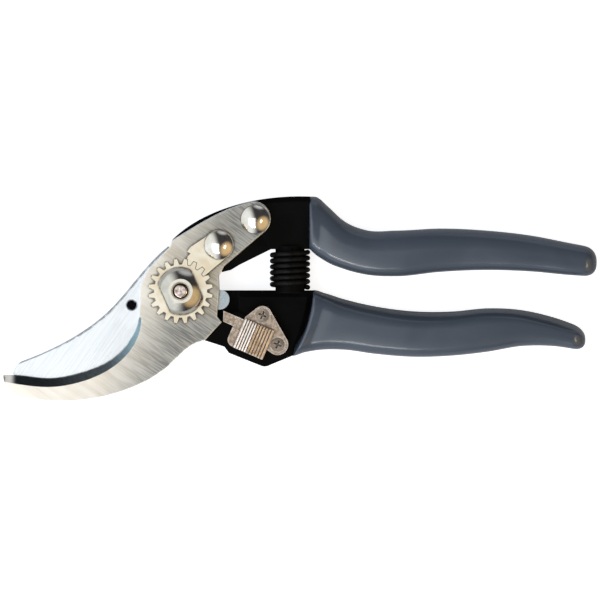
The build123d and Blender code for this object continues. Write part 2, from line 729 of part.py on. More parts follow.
# Catch bracket: three-cornered guide with a channel for the bar underneath
with BuildPart() as catch_bracket:
    with BuildSketch(catch_plane(z_blade)):
        with Locations((front_screw_u, front_screw_v)):
            Circle(front_pad_r)
        with Locations((rear_screw_u, rear_screw_v)):
            Circle(rear_pad_r)
        Polygon(
            (bracket_left, -bracket_lip),
            (bracket_left + root_sink, -bracket_lip),
            (bracket_left + root_sink, bracket_v),
            (bracket_left, bracket_v),
        )
        make_hull()
        with Locations((skirt_u1 + slide_travel + seat_gap, -bracket_lip)):
            Rectangle(rear_screw_u, rear_screw_u, align=(Align.MAX, Align.MAX), mode=Mode.SUBTRACT)
    extrude(amount=z_bracket - z_blade)
    with BuildSketch(catch_plane(z_blade)):
        with Locations((bar_end_u + slide_travel + rear_stop_gap, catch_bar + slide_fit)):
            Rectangle(rear_screw_u, rear_screw_u, align=(Align.MAX, Align.MAX))
    extrude(amount=z_roof - z_blade, mode=Mode.SUBTRACT)
    with BuildSketch(catch_plane(z_blade)):
        with Locations((front_screw_u, front_screw_v), (rear_screw_u, rear_screw_v)):
            Circle(bracket_screw_r + shank_fit)
    extrude(amount=z_bracket - z_blade, mode=Mode.SUBTRACT)
    with Locations(catch_plane(z_bracket)):
        with Locations((front_screw_u, front_screw_v), (rear_screw_u, rear_screw_v)):
            Cone(
                bracket_screw_r + shank_fit,
                bracket_head_r + shank_fit,
                bracket_head_t,
                align=(Align.CENTER, Align.CENTER, Align.MAX),
                mode=Mode.SUBTRACT,
            )
catch_bracket.part.label = "catch_bracket"
export_step(catch_bracket.part, "parts/catch_bracket.step")

# Countersunk cross-head screws of the bracket
screws = {
    "bracket_screw_front": (front_screw_u, front_screw_v),
    "bracket_screw_rear": (rear_screw_u, rear_screw_v),
}
for screw_name, place in screws.items():
    with BuildPart() as bracket_screw:
        with Locations(catch_plane(z_bracket) * Pos(*place)):
            Cylinder(
                bracket_screw_r,
                z_bracket - z_blade + screw_depth,
                align=(Align.CENTER, Align.CENTER, Align.MAX),
            )
            Cone(
                bracket_screw_r,
                bracket_head_r,
                bracket_head_t,
                align=(Align.CENTER, Align.CENTER, Align.MAX),
            )
            top_align = (Align.CENTER, Align.CENTER, Align.MAX)
            Box(cross_l, cross_w, cross_t, align=top_align, mode=Mode.SUBTRACT)
            Box(cross_w, cross_l, cross_t, align=top_align, mode=Mode.SUBTRACT)
    bracket_screw.part.label = screw_name
    export_step(bracket_screw.part, "parts/" + screw_name + ".step")

# Leaf spring in its pocket under the skirt
with BuildPart() as catch_leaf_spring:
    seat = catch_plane(z_blade - leaf_pocket)
    leaf_side = Plane(
        seat.from_local_coords((leaf_u, leaf_v + leaf_w / 2, 0)),
        x_dir=seat.x_dir,
        z_dir=-seat.y_dir,
    )
    with BuildSketch(leaf_side):
        with BuildLine():
            half = leaf_l / 2
            ThreePointArc((-half, 0), (0, leaf_rise), (half, 0))
            Line((half, 0), (half, leaf_t))
            ThreePointArc((half, leaf_t), (0, leaf_rise + leaf_t), (-half, leaf_t))
            Line((-half, leaf_t), (-half, 0))
        make_face()
    extrude(amount=leaf_w)
catch_leaf_spring.part.label = "catch_leaf_spring"
export_step(catch_leaf_spring.part, "parts/catch_leaf_spring.step")

# Return spring: one wire coiled between the two handles, each quarter turn drawn as two arcs
spring_low = lower_top_y + seat_gap + wire_r
spring_high = upper_seat_y - seat_gap - wire_r
pitch = (spring_high - spring_low) / spring_turns


def coil_point(turn):
    """The point of the wire's middle line after so many turns."""
    a = 2 * pi * turn
    return Vector(spring_x + spring_r * cos(a), spring_low + pitch * turn, grip_mid - spring_r * sin(a))


def coil_way(turn):
    """The direction of the wire after so many turns."""
    a = 2 * pi * turn
    return Vector(-spring_r * sin(a), pitch / (2 * pi), -spring_r * cos(a)).normalized()


with BuildPart() as return_spring:
    with BuildLine() as wire:
        for i in range(4 * spring_turns):
            start, end = coil_point(i / 4), coil_point((i + 1) / 4)
            leave, arrive = coil_way(i / 4), coil_way((i + 1) / 4)
            chord, both = end - start, leave + arrive
            bend = 2 * (1 - leave.dot(arrive))
            reach = (sqrt(chord.dot(both) ** 2 + bend * chord.dot(chord)) - chord.dot(both)) / bend
            middle = (start + end + (leave - arrive) * reach) * 0.5
            TangentArc(start, middle, tangent=leave)
            TangentArc(middle, end, tangent=(end - arrive * reach) - (start + leave * reach))
    with BuildSketch(Plane(coil_point(0), z_dir=coil_way(0))):
        Circle(wire_r)
    sweep(path=wire.line)
return_spring.part.label = "return_spring"
export_step(return_spring.part, "parts/return_spring.step")

wire_points = [coil_point(i / 48) for i in range(48 * spring_turns + 1)]
least = min(
    (wire_points[j] - wire_points[i]).length
    for i in range(len(wire_points))
    for j in range(i + 24, len(wire_points))
)
print(f"least gap of the spring to itself: {least - 2 * wire_r:.2f} mm")
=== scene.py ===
import json

import bmesh
import bpy
import numpy as np
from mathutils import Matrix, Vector


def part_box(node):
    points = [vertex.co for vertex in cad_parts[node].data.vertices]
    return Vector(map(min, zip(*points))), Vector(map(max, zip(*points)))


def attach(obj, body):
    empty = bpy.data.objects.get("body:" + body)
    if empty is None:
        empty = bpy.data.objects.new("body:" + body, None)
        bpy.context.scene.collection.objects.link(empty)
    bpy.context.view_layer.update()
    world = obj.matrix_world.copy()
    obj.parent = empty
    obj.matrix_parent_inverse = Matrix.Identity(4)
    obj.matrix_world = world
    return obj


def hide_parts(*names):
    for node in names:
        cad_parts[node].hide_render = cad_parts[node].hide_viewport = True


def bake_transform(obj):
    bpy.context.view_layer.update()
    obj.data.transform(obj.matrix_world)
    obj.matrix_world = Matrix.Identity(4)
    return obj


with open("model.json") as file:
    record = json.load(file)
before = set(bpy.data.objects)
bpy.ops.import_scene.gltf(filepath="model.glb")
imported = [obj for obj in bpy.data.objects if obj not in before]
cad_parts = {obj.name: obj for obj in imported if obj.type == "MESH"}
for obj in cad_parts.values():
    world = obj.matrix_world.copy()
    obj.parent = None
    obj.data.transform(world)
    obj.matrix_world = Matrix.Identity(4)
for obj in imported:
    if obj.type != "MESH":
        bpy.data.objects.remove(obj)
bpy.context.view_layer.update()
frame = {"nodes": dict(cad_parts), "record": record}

MM = 0.001
X, Y, Z = (1.0, 0.0, 0.0), (0.0, 1.0, 0.0), (0.0, 0.0, 1.0)

# The photograph's framing, straight from above
VIEW_WIDTH = 0.222
VIEW_CENTRE = (0.0442, -0.0033)
VIEW_MIDDLE = (*VIEW_CENTRE, 0.0)
CAMERA_HEIGHT = 0.6

# The pale floor: its half side, its two tones and the glow that only the camera sees
FLOOR_REACH = 6.0
FLOOR_TONES = ((0.60, 0.64, 0.72), (0.63, 0.67, 0.75))
FLOOR_GLOW = 0.82

# Softboxes: name, place, the point each faces, width and depth, brightness and colour
SOFTBOXES = (
    ("top_softbox", (-0.33, -0.29, 0.9), (-0.33, -0.29, 0.0), (0.78, 0.9), 1.05, (1.0, 1.0, 1.0)),
    ("front_strip", (-0.2, -0.75, 0.8), VIEW_MIDDLE, (0.5, 0.15), 9.0, (1.0, 1.0, 1.0)),
    ("warm_softbox", (0.6, -0.15, 0.8), VIEW_MIDDLE, (0.24, 0.16), 6.0, (1.0, 0.84, 0.6)),
)

# The dim room, its walls and what lies under the floor: the way to each, the cosines at which its colour
# starts and is full, and the colour
DIM_ROOM = (0.05, 0.05, 0.055)
COOL_WALL = ((-0.97, -0.2, 0.1), -0.05, 0.55, (0.96, 1.02, 1.06))
WARM_WALL = ((0.72, -0.38, 0.58), 0.68, 0.95, (0.80, 0.59, 0.33))
FAR_WALL = ((0.25, 0.96, 0.0), 0.88, 0.985, (0.60, 0.64, 0.72))
UNDER_FLOOR = ((0.0, 0.0, -1.0), 0.0, 0.02, (1.0, 1.0, 1.0))

# Grips in millimetres: where each section stands, its upper edge, its lower edge, its depth and how far
# its side towards +Y leans in above and below its middle
GRIP_MIDDLE = 7.5
GRIP_WALL = 2.9
GRIP_FRONT_SQUARENESS = 3.3
UPPER_BACK_SQUARENESS = 2.2
LOWER_BACK_SQUARENESS = 4.2
UPPER_MOUTH_X = 48.0
UPPER_SECTIONS = (
    (48.0, 35.0, 15.3, 14.8, 0.0),
    (50.8, 34.75, 12.7, 14.8, 0.0),
    (54.5, 31.4, 10.5, 14.8, 0.0),
    (60.0, 26.3, 8.3, 14.8, 0.0),
    (68.5, 22.6, 6.1, 14.8, 0.0),
    (80.0, 22.4, 5.45, 14.8, 0.0),
    (96.0, 23.15, 7.05, 14.7, 0.0),
    (112.0, 22.5, 7.75, 14.4, 0.0),
    (130.0, 20.5, 7.2, 13.8, 0.0),
    (144.0, 17.8, 5.9, 12.8, 0.0),
    (154.0, 15.9, 5.3, 11.6, 0.0),
)
LOWER_MOUTH = ((42.2, -23.6), (46.9, -13.5), (49.4, 0.3))
LOWER_SECTIONS = (
    (40.5, 0.5, -24.4, 14.8, 0.5),
    (50.1, 0.3, -21.95, 14.8, 1.2),
    (60.0, -2.85, -21.7, 14.8, 2.6),
    (72.0, -5.65, -23.25, 14.8, 2.9),
    (86.0, -7.45, -24.35, 14.8, 3.3),
    (100.0, -7.55, -23.95, 14.7, 3.2),
    (114.0, -6.35, -22.4, 14.4, 2.8),
    (126.0, -7.0, -20.4, 13.8, 2.8),
    (138.0, -9.7, -20.4, 12.8, 3.0),
    (149.8, -13.9, -22.2, 11.0, 1.8),
)

# How far a grip's skin laps over the casting, the rounding of its mouth and the share of it that its sides
# get, the dip behind its lip, and its blunt end, in millimetres
BUTT_LAP = 0.3
MOUTH_ROUND = 1.1
RIM_SIDE = 0.12
LIP_DIP = 0.2
LIP_WIDTH = 2.6
END_LENGTH = 5.2
END_SQUARENESS = 2.5

# Rows and columns of a grip's skin, how much its columns crowd towards the section's corners and its rows
# towards the mouth, and how many times the mouth's line is worked out anew
GRIP_COLUMNS = 128
CORNER_CROWDING = 0.12
BORE_ROWS = 12
RIM_ROWS = 10
OUTSIDE_ROWS = 170
OUTSIDE_CROWDING = 1.15
END_ROWS = 20
MOUTH_PASSES = 40

# Return spring in millimetres, and the rows and columns of its wire
SPRING_X = 40.5
SPRING_RADIUS = 6.55
WIRE_RADIUS = 0.94
SPRING_TURNS = 6
SPRING_FOOT_Y = 1.4
SPRING_HEAD_Y = 14.4
ROWS_PER_TURN = 64
WIRE_COLUMNS = 20
TIP_ROWS = 6
TIP_LENGTH = WIRE_RADIUS / 2

# Catch in millimetres: where its slide starts, which way it runs, and the thumb piece along and across it
CATCH_START = (15.73, -9.25)
CATCH_TURN = np.radians(-23.0)
THUMB_ALONG = (7.9, 12.9, 19.7)
THUMB_ACROSS = (-9.2, 2.6)
THUMB_HEIGHTS = (1.3, 2.6, 1.3)
THUMB_RIBS = (5, 6)
THUMB_FOOT_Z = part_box("catch_thumb")[0][2] / MM
THUMB_SQUARENESS = 14.0
RIB_RISE = 0.25
GROOVE_DEPTH = 0.55

# The cosine at which a groove between two ribs starts and how far on it is full, the rings that close the
# thumb piece's ends, and its rows and columns
GROOVE_START = 0.25
GROOVE_EASE = 0.55
THUMB_CLOSINGS = (0.93, 0.0)
THUMB_ROWS = 361
THUMB_COLUMNS = 64

# The blade's small hole in millimetres, and how the painted shade that blackens it fades out round it and up
# to the blade's face
BLADE_HOLE = (-18.1, -5.2)
BLADE_HOLE_RADIUS = 1.75
BLADE_TOP = 11.0
HOLE_EDGE = (1.03 * BLADE_HOLE_RADIUS, 1.01 * BLADE_HOLE_RADIUS)
HOLE_LIP = (BLADE_TOP - 0.02, BLADE_TOP - 0.1)

# The way along which the hook plate's painted reflection fades from pale to dull
PLATE_REFLECTION_FADE = (1.0, -0.45, 0.0)

# Where the nut's toothed rim ends and its dome starts, in millimetres
NUT_RIM_HEIGHT = 2.0
NUT_RIM_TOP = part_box("adjuster_nut")[0][2] / MM + NUT_RIM_HEIGHT
DOME_START = (NUT_RIM_TOP + 0.05, NUT_RIM_TOP + 0.3)

# How near two points of a skin are welded, in metres
WELD_REACH = 1e-7

# Places of the two colours and of the result among a Mix node's sockets
MIX_COLOURS = (6, 7)
MIX_RESULT = 2


def grid_mesh(name, points):
    """A closed skin over a grid of points: rows run along the piece, columns go round it and meet again,
    and the first and last rows are single points drawn together."""
    rows, columns, _ = points.shape
    ring = np.arange(columns)
    row = np.arange(rows - 1)[:, None] * columns
    near, beside = row + ring, row + np.roll(ring, -1)
    faces = np.stack((near, beside, beside + columns, near + columns), axis=-1).reshape(-1, 4)
    mesh = bpy.data.meshes.new(name)
    mesh.from_pydata((points.reshape(-1, 3) * MM).tolist(), [], faces.tolist())
    piece = bpy.data.objects.new(name, mesh)
    bpy.context.scene.collection.objects.link(piece)
    mesh.polygons.foreach_set("use_smooth", np.ones(len(mesh.polygons), bool))
    return piece


def weld(piece):
    """Draws the rows of equal points at both ends of a skin into one point each."""
    skin = bmesh.new()
    skin.from_mesh(piece.data)
    bmesh.ops.remove_doubles(skin, verts=skin.verts, dist=WELD_REACH)
    bmesh.ops.recalc_face_normals(skin, faces=skin.faces)
    skin.to_mesh(piece.data)
    skin.free()


def through(stations, values, at):
    """A smooth line through a few stations: cubics whose slope at a station is the mean of both sides."""
    stations, values = np.asarray(stations), np.asarray(values)
    slopes = np.gradient(values, stations)
    left = np.clip(np.searchsorted(stations, at) - 1, 0, len(stations) - 2)
    span = stations[left + 1] - stations[left]
    t = (at - stations[left]) / span
    rise = values[left + 1] - values[left]
    a = slopes[left] * span - rise
    b = rise - slopes[left + 1] * span
    return values[left] + t * rise + t * (1 - t) * (a * (1 - t) + b * t)


def squared_round(angle, squareness):
    """The two coordinates of a rounded square: cosine and sine, each raised to two over the squareness."""
    power = 2 / squareness
    across = np.sign(np.cos(angle)) * np.abs(np.cos(angle)) ** power
    along = np.sign(np.sin(angle)) * np.abs(np.sin(angle)) ** power
    return across, along


def mouth_line(mouth):
    """How far along X a grip's mouth lies at a given Y: the circle through the mouth's three points."""
    (ax, ay), (bx, by), (cx, cy) = mouth
    pull = np.array(((bx - ax, by - ay), (cx - ax, cy - ay)))
    half = np.array((bx**2 - ax**2 + by**2 - ay**2, cx**2 - ax**2 + cy**2 - ay**2)) / 2
    centre = np.linalg.solve(pull, half)
    radius = np.hypot(ax - centre[0], ay - centre[1])
    side = np.sign(bx - centre[0])

    def at(y):
        return centre[0] + side * np.sqrt(radius**2 - (y - centre[1]) ** 2)

    return at


def grip(name, sections, mouth_at, bore_end, back_squareness):
    """A dipped sleeve, as one skin over two parameters. One goes round the section, a rounded square
    between the grip's two edges, whose side towards +Y has a squareness of its own and leans in evenly
    above and below its middle. The other runs out along the bore, over the rounded mouth, along the
    outside and round the end to its middle. The section is drawn in by the wall in the bore, by a quarter
    circle at the mouth, by a shallow dip behind the lip and by a blunt quarter round at the end."""
    x, high, low, depth, lean = np.array(sections).T
    angle = np.linspace(0, 2 * np.pi, GRIP_COLUMNS, endpoint=False)
    angle = angle + CORNER_CROWDING * np.sin(4 * angle)
    back = np.cos(angle) > 0
    across, up = squared_round(angle, np.where(back, back_squareness, GRIP_FRONT_SQUARENESS))
    leaning = np.abs(up) * back

    def place(at, scale=1, side=0, face=0):
        upper, lower = through(x, high, at), through(x, low, at)
        half = (upper - lower) / 2 - side - leaning * through(x, lean, at)
        y = (upper + lower) / 2 + scale * half * across
        z = GRIP_MIDDLE + scale * (through(x, depth, at) / 2 - face) * up
        return np.stack((at + 0 * across, y, z), axis=-1)

    mouth = np.full(angle.shape, x[0])
    for _ in range(MOUTH_PASSES):
        mouth = mouth_at(place(mouth)[..., 1]) - BUTT_LAP
    bore = mouth + np.linspace(1, 0, BORE_ROWS)[:, None] * (bore_end - mouth)
    turn = np.linspace(0, np.pi / 2, RIM_ROWS)[:, None]
    rim = MOUTH_ROUND * (1 - np.sin(turn))
    stop = x[-1] - END_LENGTH
    start = mouth + MOUTH_ROUND
    outside = start + np.linspace(0, 1, OUTSIDE_ROWS)[1:, None] ** OUTSIDE_CROWDING * (stop - start)
    behind = (outside - start) / LIP_WIDTH
    dip = LIP_DIP * np.clip(behind, 0, 1) * np.exp(-((behind - 1) ** 2))
    bend = np.linspace(0, np.pi / 2, END_ROWS)[1:, None]
    blunt_in, blunt_out = squared_round(bend, END_SQUARENESS)
    rows = (
        place(np.full((1, len(angle)), bore_end), 0),
        place(bore, 1, GRIP_WALL, GRIP_WALL),
        place(mouth + MOUTH_ROUND * (1 - np.cos(turn)), 1, RIM_SIDE * rim, rim),
        place(outside, 1, dip, dip),
        place(stop + END_LENGTH * blunt_out, blunt_in),
    )
    piece = grid_mesh(name, np.concatenate(rows))
    weld(piece)
    return piece


def ribbed_thumb():
    """A low roof with ribs along its ridge, as one skin. One parameter goes round the section across the
    slide, a rounded rectangle. The other runs along the slide, where the section's height is two straight
    slopes that meet at the ridge, raised a little on each rib and lowered in the grooves between them,
    which are the clipped tops of a cosine."""
    foot, _, end = THUMB_ALONG
    slide = np.linspace(foot, end, THUMB_ROWS)
    ribs = np.interp(slide, THUMB_ALONG, (0, THUMB_RIBS[0], sum(THUMB_RIBS)))
    groove = np.clip((np.cos(2 * np.pi * ribs) - GROOVE_START) / GROOVE_EASE, 0, 1)
    tall = np.interp(slide, THUMB_ALONG, THUMB_HEIGHTS) + RIB_RISE - GROOVE_DEPTH * groove
    scale = np.ones(slide.shape)
    for closing in THUMB_CLOSINGS:
        slide = np.concatenate((slide[:1], slide, slide[-1:]))
        tall = np.concatenate((tall[:1], tall, tall[-1:]))
        scale = np.concatenate(((closing,), scale, (closing,)))
    angle = np.linspace(0, 2 * np.pi, THUMB_COLUMNS, endpoint=False)
    side, up = squared_round(angle, THUMB_SQUARENESS)
    low, high = THUMB_ACROSS
    u = slide[:, None] + 0 * side
    v = (low + high) / 2 + (high - low) / 2 * scale[:, None] * side
    z = THUMB_FOOT_Z + tall[:, None] / 2 * (1 + scale[:, None] * up)
    x = CATCH_START[0] + u * np.cos(CATCH_TURN) - v * np.sin(CATCH_TURN)
    y = CATCH_START[1] + u * np.sin(CATCH_TURN) + v * np.cos(CATCH_TURN)
    piece = grid_mesh("ribbed_thumb", np.stack((x, y, z), axis=-1))
    weld(piece)
    return piece


def coil_wire():
    """A round wire wound on a cylinder: its middle line turns and climbs at steady rates, and a circle is
    carried along it, square to the line, with a rounded tip at each end."""
    rows = np.linspace(0, 1, ROWS_PER_TURN * SPRING_TURNS + 1)
    turn = 2 * np.pi * SPRING_TURNS * rows
    climb = SPRING_HEAD_Y - SPRING_FOOT_Y
    line = np.stack(
        (
            SPRING_X + SPRING_RADIUS * np.cos(turn),
            SPRING_FOOT_Y + climb * rows,
            GRIP_MIDDLE - SPRING_RADIUS * np.sin(turn),
        ),
        axis=-1,
    )
    way = np.gradient(line, axis=0)
    way /= np.linalg.norm(way, axis=1)[:, None]
    outward = np.stack((np.cos(turn), 0 * turn, -np.sin(turn)), axis=-1)
    beside = np.cross(way, outward)
    tip = np.linspace(0, np.pi / 2, TIP_ROWS)
    last = len(rows) - 1
    index = np.concatenate((np.zeros(TIP_ROWS, int), np.arange(1, last), np.full(TIP_ROWS, last)))
    thick = np.concatenate((np.sin(tip), np.ones(last - 1), np.cos(tip)))
    shift = np.concatenate((-np.cos(tip), np.zeros(last - 1), np.sin(tip))) * TIP_LENGTH
    angle = np.linspace(0, 2 * np.pi, WIRE_COLUMNS, endpoint=False)[None, :, None]
    ring = np.cos(angle) * outward[index][:, None] + np.sin(angle) * beside[index][:, None]
    centre = line[index] + way[index] * shift[:, None]
    piece = grid_mesh("coil_wire", centre[:, None] + WIRE_RADIUS * thick[:, None, None] * ring)
    weld(piece)
    return piece


def node(tree, kind, inputs=None, **settings):
    """Adds a shader node with its settings. A socket among its inputs is linked, another value is set."""
    made = tree.nodes.new("ShaderNode" + kind)
    for key, value in settings.items():
        setattr(made, key, value)
    for key, value in (inputs or {}).items():
        if isinstance(value, bpy.types.NodeSocket):
            tree.links.new(value, made.inputs[key])
        else:
            made.inputs[key].default_value = value
    return made


def group(name, inputs, outputs):
    """A new shader node group with named sockets, its input node and its output node."""
    tree = bpy.data.node_groups.new(name, "ShaderNodeTree")
    for label, kind, default in inputs:
        socket = tree.interface.new_socket(label, in_out="INPUT", socket_type="NodeSocket" + kind)
        if default is not None:
            socket.default_value = default
    for label, kind in outputs:
        tree.interface.new_socket(label, in_out="OUTPUT", socket_type="NodeSocket" + kind)
    return tree, tree.nodes.new("NodeGroupInput").outputs, tree.nodes.new("NodeGroupOutput").inputs


def stretch(tree, value, low, high, start=0.0, stop=1.0):
    """Eases a value between two limits over another range, held at both ends."""
    inputs = {"Value": value, "From Min": low, "From Max": high, "To Min": start, "To Max": stop}
    return node(tree, "MapRange", inputs, interpolation_type="SMOOTHSTEP").outputs["Result"]


def mixed(tree, factor, first, second):
    """One colour or the other, by a mask. A plain colour becomes opaque, a mixed one is linked."""
    inputs = {"Factor": factor}
    for place, colour in zip(MIX_COLOURS, (first, second)):
        inputs[place] = (*colour, 1.0) if isinstance(colour, tuple) else colour
    return node(tree, "Mix", inputs, data_type="RGBA").outputs[MIX_RESULT]


def make_brushed_lines():
    """Fine lines from grinding: noise drawn out along one direction, turned about Z."""
    tree, given, result = group(
        "brushed lines",
        (
            ("Vector", "Vector", None),
            ("Turn", "Float", 0.0),
            ("Fineness", "Float", 2500.0),
            ("Length", "Float", 60.0),
        ),
        (("Lines", "Float"), ("Bands", "Float")),
    )
    turned = node(tree, "CombineXYZ", {"Z": given["Turn"]})
    laid = node(tree, "Mapping", {"Vector": given["Vector"], "Rotation": turned.outputs[0]})
    scale = node(tree, "CombineXYZ", {"X": given["Length"], "Y": given["Fineness"], "Z": given["Fineness"]})
    drawn = node(tree, "VectorMath", {0: laid.outputs[0], 1: scale.outputs[0]}, operation="MULTIPLY")
    fine = node(tree, "TexNoise", {"Vector": drawn.outputs[0], "Scale": 1.0, "Detail": 3.0})
    broad = node(tree, "TexNoise", {"Vector": drawn.outputs[0], "Scale": 0.13, "Detail": 2.0})
    tree.links.new(stretch(tree, fine.outputs[0], 0.3, 0.7), result["Lines"])
    tree.links.new(stretch(tree, broad.outputs[0], 0.32, 0.68), result["Bands"])
    return tree


def make_cast_grain():
    """The skin of a casting or a dipped coat: small rounded grains with a finer grain over them."""
    tree, given, result = group(
        "cast grain",
        (("Vector", "Vector", None), ("Scale", "Float", 900.0)),
        (("Height", "Float"), ("Shade", "Float")),
    )
    coarse = node(tree, "TexNoise", {"Vector": given["Vector"], "Scale": given["Scale"], "Detail": 4.0})
    finer = node(tree, "Math", {0: given["Scale"], 1: 3.4}, operation="MULTIPLY")
    dense = {"Vector": given["Vector"], "Scale": finer.outputs[0]}
    small = node(tree, "TexVoronoi", dense, feature="SMOOTH_F1")
    grain = {0: small.outputs["Distance"], 1: 0.45, 2: coarse.outputs[0]}
    both = node(tree, "Math", grain, operation="MULTIPLY_ADD")
    tree.links.new(both.outputs[0], result["Height"])
    tree.links.new(stretch(tree, coarse.outputs[0], 0.35, 0.65), result["Shade"])
    return tree


def make_handling_marks():
    """Soft blotches left by hands and cloths: broad noise with finer noise in it, bent a little."""
    tree, given, result = group(
        "handling marks",
        (("Vector", "Vector", None), ("Scale", "Float", 90.0)),
        (("Marks", "Float"),),
    )
    pattern = {"Vector": given["Vector"], "Scale": given["Scale"], "Detail": 5.0, "Distortion": 0.6}
    broad = node(tree, "TexNoise", pattern)
    tree.links.new(stretch(tree, broad.outputs[0], 0.3, 0.72), result["Marks"])
    return tree


def make_edge_wear_and_light():
    """A mask along sharp edges: where the surface, rounded off by a small radius, leans away from itself; it
    carries edge wear, painted shade on the blade and a painted highlight on the hook plate's rims.
    """
    tree, given, result = group(
        "worn edges",
        (("Vector", "Vector", None), ("Radius", "Float", 0.0004), ("Wear", "Float", 0.6)),
        (("Edge", "Float"),),
    )
    rounded = node(tree, "Bevel", {"Radius": given["Radius"]}, samples=6)
    true = node(tree, "NewGeometry")
    normals = {0: rounded.outputs[0], 1: true.outputs["Normal"]}
    lean = node(tree, "VectorMath", normals, operation="DOT_PRODUCT")
    edge = stretch(tree, lean.outputs["Value"], 0.998, 0.93)
    chips = node(tree, "TexNoise", {"Vector": given["Vector"], "Scale": 420.0, "Detail": 3.0})
    broken = stretch(tree, chips.outputs[0], 0.36, 0.6, 0.25, 1.0)
    edge_mask = node(tree, "Math", {0: edge, 1: broken}, operation="MULTIPLY")
    mask = node(tree, "Math", {0: edge_mask.outputs[0], 1: given["Wear"]}, operation="MULTIPLY")
    tree.links.new(mask.outputs[0], result["Edge"])
    return tree


def make_painted_gap_shade():
    """A mask of painted shade in corners and gaps: where nearby surfaces close off the open sky over a
    point, broken into patches.
    """
    tree, given, result = group(
        "settled dirt",
        (("Vector", "Vector", None), ("Reach", "Float", 0.001), ("Amount", "Float", 1.0)),
        (("Shade_Mask", "Float"),),
    )
    sky = node(tree, "AmbientOcclusion", {"Distance": given["Reach"]}, samples=8)
    closed = stretch(tree, sky.outputs["AO"], 0.92, 0.5)
    patches = node(tree, "TexNoise", {"Vector": given["Vector"], "Scale": 700.0, "Detail": 2.0})
    uneven = stretch(tree, patches.outputs[0], 0.3, 0.55, 0.6, 1.0)
    patchy_gap_shade = node(tree, "Math", {0: closed, 1: uneven}, operation="MULTIPLY")
    mask = node(tree, "Math", {0: patchy_gap_shade.outputs[0], 1: given["Amount"]}, operation="MULTIPLY")
    tree.links.new(mask.outputs[0], result["Shade_Mask"])
    return tree


BRUSHED_LINES = make_brushed_lines()
CAST_GRAIN = make_cast_grain()
HANDLING_MARKS = make_handling_marks()
EDGE_WEAR_AND_LIGHT = make_edge_wear_and_light()
PAINTED_GAP_SHADE = make_painted_gap_shade()


class Finish:
    """One material: its node tree, its Principled shader and the object coordinates its patterns read."""

    def __init__(self, name, **sockets):
        self.material = bpy.data.materials.new(name)
        self.material.use_nodes = True
        self.tree = self.material.node_tree
        self.shader = next(n for n in self.tree.nodes if n.type == "BSDF_PRINCIPLED")
        for key, value in sockets.items():
            self.shader.inputs[key.replace("_", " ")].default_value = value
        self.place = node(self.tree, "TexCoord").outputs["Object"]

    def use(self, effect, **inputs):
        """Places a shared effect with this material's own values."""
        made = node(self.tree, "Group", node_tree=effect)
        self.tree.links.new(self.place, made.inputs["Vector"])
        for key, value in inputs.items():
            made.inputs[key].default_value = value
        return made.outputs

    def mix(self, factor, first, second):
        """One colour or the other, by a mask."""
        return mixed(self.tree, factor, first, second)

    def along(self, direction, start, stop):
        """A mask that grows along a direction of the frame between two places in millimetres."""
        reach = node(self.tree, "VectorMath", {0: self.place, 1: direction}, operation="DOT_PRODUCT")
        return stretch(self.tree, reach.outputs["Value"], start * MM, stop * MM)

    def slope(self, level, steep):
        """A mask of how far the surface leans from level, between two heights of its upright normal."""
        normal = node(self.tree, "NewGeometry").outputs["Normal"]
        split = node(self.tree, "SeparateXYZ", {"Vector": normal})
        return stretch(self.tree, split.outputs["Z"], level, steep)

    def both(self, first, second):
        """A mask where two masks meet."""
        return node(self.tree, "Math", {0: first, 1: second}, operation="MULTIPLY").outputs[0]

    def blend(self, mask, start, stop):
        """A value that follows a mask from one figure to another."""
        return stretch(self.tree, mask, 0.0, 1.0, start, stop)

    def bump(self, height, distance, strength):
        """A bump from a height."""
        inputs = {"Height": height, "Distance": distance, "Strength": strength}
        return node(self.tree, "Bump", inputs).outputs[0]

    def wear(self, **parts):
        """Leads the finished colour, roughness and normal into the shader."""
        for key, socket in parts.items():
            self.tree.links.new(socket, self.shader.inputs[key.replace("_", " ")])
        return self.material


